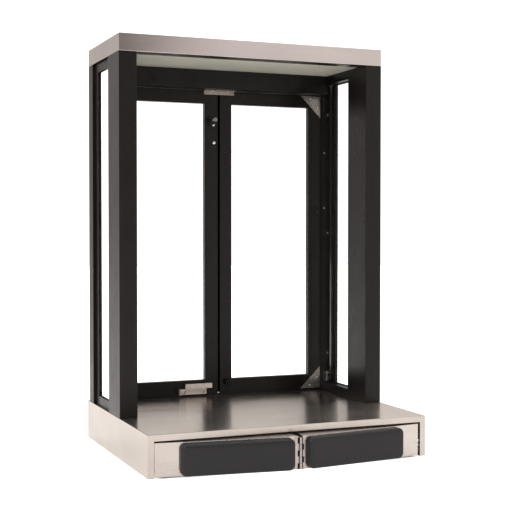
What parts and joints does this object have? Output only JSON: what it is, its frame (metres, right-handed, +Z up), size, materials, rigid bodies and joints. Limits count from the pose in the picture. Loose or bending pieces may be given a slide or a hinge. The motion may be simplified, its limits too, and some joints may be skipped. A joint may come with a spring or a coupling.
{
  "type": "bump-out service window",
  "caption": "Pass-through service window: stainless shelf base and header cap, black aluminium frame, glazed sides, swinging glazed leaves opened by a padded V bumper.",
  "frame": {"origin": "middle of the overall footprint, on the surface that it stands on", "axes": "+Z up, +Y from the operator's side to the outside, +X to the operator's right"},
  "size_m": [0.7, 0.6058, 1.014],
  "materials": {
    "stainless": "brushed stainless sheet",
    "black_aluminium": "black anodised extrusion",
    "glass": "clear tempered glass",
    "seal_rubber": "black glazing seal",
    "ceiling_enamel": "pale grey-green enamel",
    "plated_steel": "plated steel",
    "nylon": "moulded nylon",
    "black_metal": "black",
    "black_rubber": "moulded rubber",
    "pad_vinyl": "charcoal moulded pad with a fine grain",
    "spring_steel": "oiled spring wire"
  },
  "bodies": {
    "frame": {"base_shell": "stainless", "header_cap": "stainless", "front_beam": "black_aluminium", "header_rail": "black_aluminium", "ceiling_panel": "ceiling_enamel", "front_post_left": "black_aluminium", "front_post_right": "black_aluminium", "back_post_left": "black_aluminium", "back_post_right": "black_aluminium", "side_frame_left": "black_aluminium", "side_frame_right": "black_aluminium", "side_glass_left": "glass", "side_glass_right": "glass", "side_seal_left": "seal_rubber", "side_seal_right": "seal_rubber", "door_stop_bracket": "plated_steel", "top_pivot_pin_left": "plated_steel", "top_pivot_pin_right": "plated_steel", "shaft_bush_left": "nylon", "shaft_bush_right": "nylon", "jamb_catch_left": "plated_steel", "jamb_catch_right": "plated_steel", "yoke_guide_front": "plated_steel", "yoke_guide_back": "plated_steel", "bumper_pivot_bracket": "plated_steel", "bumper_slot_bracket": "plated_steel"},
    "left_leaf": {"leaf_frame_left": "black_aluminium", "leaf_glass_left": "glass", "leaf_bead_left": "seal_rubber", "top_gusset_left": "plated_steel", "bottom_gusset_left": "plated_steel", "pivot_shaft_left": "plated_steel", "thrust_washer_left": "nylon", "crank_arm_left": "plated_steel", "closing_spring_left": "spring_steel", "lock_body": "black_metal", "latch_base": "plated_steel"},
    "right_leaf": {"leaf_frame_right": "black_aluminium", "leaf_glass_right": "glass", "leaf_bead_right": "seal_rubber", "top_gusset_right": "plated_steel", "bottom_gusset_right": "plated_steel", "pivot_shaft_right": "plated_steel", "thrust_washer_right": "nylon", "crank_arm_right": "plated_steel", "closing_spring_right": "spring_steel", "rubber_stop": "black_rubber"},
    "lock_knob": {"lock_knob": "plated_steel"},
    "latch_bar": {"latch_bar": "plated_steel"},
    "push_yoke": {"push_yoke": "plated_steel"},
    "left_bumper": {"bumper_panel_left": "stainless", "bumper_pad_left": "pad_vinyl", "centre_hinge_left": "stainless"},
    "right_bumper": {"bumper_panel_right": "stainless", "bumper_pad_right": "pad_vinyl", "centre_hinge_right": "stainless", "centre_hinge_pin": "plated_steel"}
  },
  "joints": [
    {"name": "left_leaf_swing", "type": "hinge", "parent": "frame", "child": "left_leaf", "pos_m": [-0.293, 0.2709, 0.5], "axis": [0, 0, 1], "range_deg": [0, 85], "stiffness_Nm_per_rad": 2, "springref_deg": -20.05},
    {"name": "right_leaf_swing", "type": "hinge", "parent": "frame", "child": "right_leaf", "pos_m": [0.293, 0.2709, 0.5], "axis": [0, 0, 1], "range_deg": [-85, 0]},
    {"name": "yoke_push", "type": "slide", "parent": "frame", "child": "push_yoke", "axis": [0, 1, 0], "range_m": [0, 0.0401]},
    {"name": "left_bumper_fold", "type": "hinge", "parent": "frame", "child": "left_bumper", "pos_m": [-0.331, -0.2401, 0.04], "axis": [0, 0, 1], "range_deg": [0, 6.89]},
    {"name": "right_bumper_fold", "type": "hinge", "parent": "left_bumper", "child": "right_bumper", "pos_m": [0, -0.2871, 0.04], "axis": [0, 0, 1], "range_deg": [-13.78, 0]},
    {"name": "lock_turn", "type": "hinge", "parent": "left_leaf", "child": "lock_knob", "pos_m": [-0.0221, 0.2499, 0.841], "axis": [0, 1, 0], "range_deg": [0, 90]},
    {"name": "latch_slide", "type": "slide", "parent": "left_leaf", "child": "latch_bar", "axis": [1, 0, 0], "range_m": [0, 0.03]}
  ],
  "couplings": [
    {"joint": "right_leaf_swing", "follows": "left_leaf_swing", "ratio": -1},
    {"joint": "yoke_push", "follows": "left_leaf_swing", "m_per_rad": 0.026963},
    {"joint": "left_bumper_fold", "follows": "left_leaf_swing", "ratio": 0.080963},
    {"joint": "right_bumper_fold", "follows": "left_leaf_swing", "ratio": -0.16193}
  ]
}
